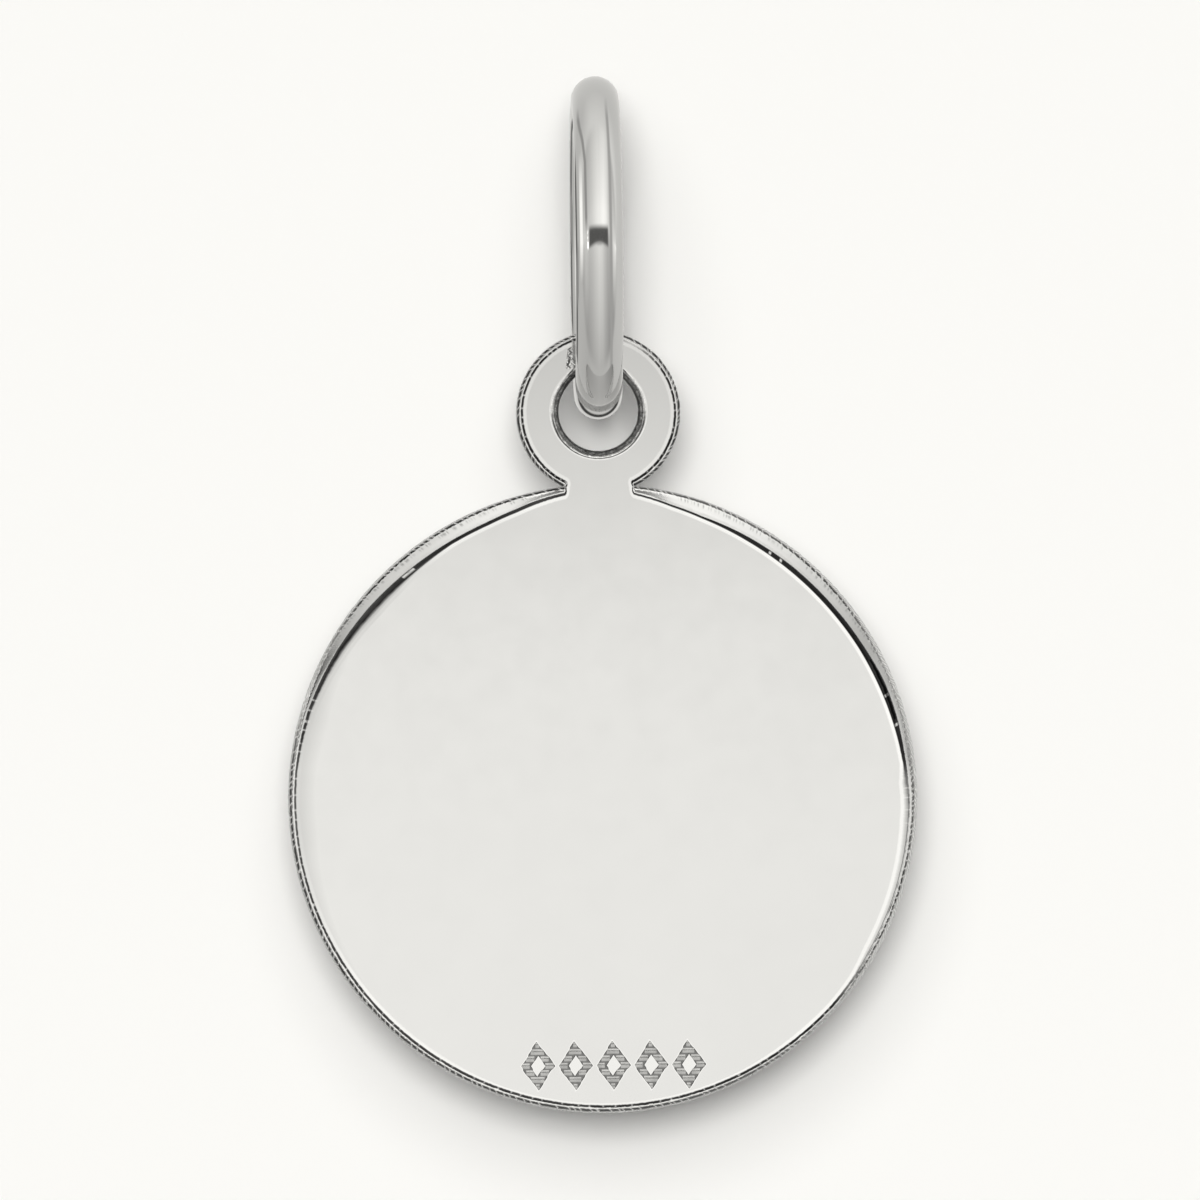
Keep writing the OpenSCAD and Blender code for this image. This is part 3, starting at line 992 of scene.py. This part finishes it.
def makeWorld():
    world = bpy.data.worlds.new("studio")
    bpy.context.scene.world = world
    world.use_nodes = True
    world.cycles_visibility.diffuse = False
    tree = world.node_tree

    def angle(operation, *values):
        return times(tree, maths(tree, operation, *values), 180 / pi)

    def curve(place, name):
        return ramp(tree, place, studio[name], studio["gain"])

    direction = addNode(tree, "ShaderNodeTexCoord").outputs["Generated"]
    x, y, z = addNode(tree, "ShaderNodeSeparateXYZ", {0: direction}).outputs
    frontwards = times(tree, y, -1.0)
    away = maths(tree, "SUBTRACT", 1.0, y)  # twice the square of a mirroring normal's length
    pitch, side = angle("ARCTAN2", z, frontwards), angle("ARCSINE", x)
    places = {
        "pitch": pitch, "side": side,
        "lift": times(tree, maths(tree, "ADD", pitch, angle("ARCSINE", z)), 0.5),
        # where metal that mirrors this direction lies across the wire, -1 to 1, and round the ring
        "across": maths(tree, "DIVIDE", x, maths(tree, "SQRT", times(tree, away, 2.0))),
        "round": angle("ARCTAN2", z, away),
        # angle from straight behind, and direction about it from below
        "cone": angle("ARCCOSINE", y),
        "swing": angle("ARCTAN2", x, times(tree, z, -1.0)),
    }
    high = spread(tree, pitch, *studio["highFrom"], smooth=True)
    front = blend(tree, high, curve(side, "sideLow"), curve(side, "sideHigh"))
    isFront = spread(tree, frontwards, *studio["frontFrom"], smooth=True)
    sideways = blend(tree, isFront, curve(side, "sideBack"), front)
    light = times(tree, curve(pitch, "pitch"), sideways)
    near = ramp(tree, side, studio["plateSide"])
    dimmed = times(tree, times(tree, ramp(tree, pitch, studio["plateDark"]), near), isFront)
    light = blend(tree, dimmed, light, studio["cards"]["camera"]["tone"])
    for card in studio["cards"].values():
        own = dict(places)
        if "bow" in card:
            own["bowed"] = maths(tree, "MULTIPLY_ADD", times(tree, side, side), card["bow"], pitch)
        if "path" in card:
            low, high = min(value for _, value in card["path"]), max(value for _, value in card["path"])
            stops = [(place, value - low) for place, value in card["path"]]
            bend = ramp(tree, own["round"], stops, high - low)
            own["across"] = maths(tree, "SUBTRACT", maths(tree, "SUBTRACT", own["across"], bend), low)
        mask = 1.0
        for name, place in own.items():
            if name in card:
                mask = times(tree, mask, ramp(tree, place, list(zip(card[name], (0, 1, 1, 0)))))
        light = blend(tree, mask, light, card["tone"])
    path = addNode(tree, "ShaderNodeLightPath").outputs  # what metal casts on the paper is left out
    light = times(tree, light, maths(tree, "LESS_THAN", path["Diffuse Depth"], 0.5))
    mirrored = tinted(tree, np.array(studio["tint"]) * studio["power"], light)
    seen = addNode(tree, "ShaderNodeMix", {0: path["Is Camera Ray"], 6: mirrored, 7: (*studio["pale"], 1)},
                   data_type="RGBA")
    feed(tree.nodes["Background"].inputs["Color"], seen.outputs[2])


# Lamps light the backdrop alone and cast the pendant's soft shadow on it

lamps = {
    "key": {"share": 0.503, "height": 5.6, "side": -1.85, "spread": 15.0},
    "fill": {"share": 0.287, "height": 16.4, "side": -3.27, "spread": 36.6},
}
backdrop = {
    "glow": 0.166,      # part of the backdrop's brightness that needs no lamp, on its wall
    "glowBelow": 0.72,  # and on its floor
    "albedo": 0.8,
    "wall": 3.2,  # distance of the wall behind the sheet's middle, in mm
    "floor": -40.0, "sweep": 14.0, "sweepSteps": 16, "half": 80.0, "top": 60.0, "front": -80.0,
}


def makeLamps():
    for name, lamp in lamps.items():
        height, side = radians(lamp["height"]), radians(lamp["side"])
        travel = Vector((-sin(side) * cos(height), cos(side) * cos(height), -sin(height)))
        data = bpy.data.lights.new(name + "Lamp", "SUN")
        data.energy = pi * lamp["share"] / backdrop["albedo"] / travel.y
        data.angle = radians(lamp["spread"])
        lampObject = newObject(name + "Lamp", data)
        lampObject.rotation_mode = "QUATERNION"
        lampObject.rotation_quaternion = travel.to_track_quat("-Z", "Y")
        lampObject.visible_glossy = False


# A wall that sweeps into the floor. It is seen from its front alone, and no metal mirrors it.
def makeBackdrop():
    sweep, wall, floor = backdrop["sweep"], backdrop["wall"], backdrop["floor"]
    profile = [(wall, backdrop["top"])]
    for angle in np.linspace(0, pi / 2, backdrop["sweepSteps"] + 1):
        profile.append((wall - sweep + sweep * cos(angle), floor + sweep - sweep * sin(angle)))
    profile.append((backdrop["front"], floor))
    points = [Vector((side * backdrop["half"], y, z)) * mm for y, z in profile for side in (-1, 1)]
    faces = [(2 * row, 2 * row + 2, 2 * row + 3, 2 * row + 1) for row in range(len(profile) - 1)]
    mesh = bpy.data.meshes.new("backdrop")
    mesh.from_pydata(points, [], faces)
    mesh.polygons.foreach_set("use_smooth", [True] * len(faces))
    material = bpy.data.materials.new("backdropPaper")
    material.use_nodes = True
    tree = material.node_tree
    tree.nodes.remove(tree.nodes["Principled BSDF"])
    white = np.array(studio["pale"]) / studio["pale"][0]
    paper = addNode(tree, "ShaderNodeBsdfDiffuse", {"Color": (*(white * backdrop["albedo"]), 1)})
    place = addNode(tree, "ShaderNodeNewGeometry").outputs
    tilt = addNode(tree, "ShaderNodeSeparateXYZ", {0: place["Normal"]}).outputs["Z"]
    strength = spread(tree, tilt, 0.0, 1.0, backdrop["glow"], backdrop["glowBelow"])
    glow = addNode(tree, "ShaderNodeEmission", {"Color": (*white, 1), "Strength": strength})
    both = addNode(tree, "ShaderNodeAddShader", {0: paper, 1: glow})
    clear = addNode(tree, "ShaderNodeBsdfTransparent")
    seen = addNode(tree, "ShaderNodeMixShader", {0: place["Backfacing"], 1: both, 2: clear})
    feed(tree.nodes["Material Output"].inputs["Surface"], seen)
    mesh.materials.append(material)
    paperSheet = newObject("backdrop", mesh)
    paperSheet.visible_glossy = False
    paperSheet.visible_diffuse = False


makeWorld()
makeLamps()
makeBackdrop()
bpy.context.scene.view_settings.view_transform = "Standard"
print("studio lit")
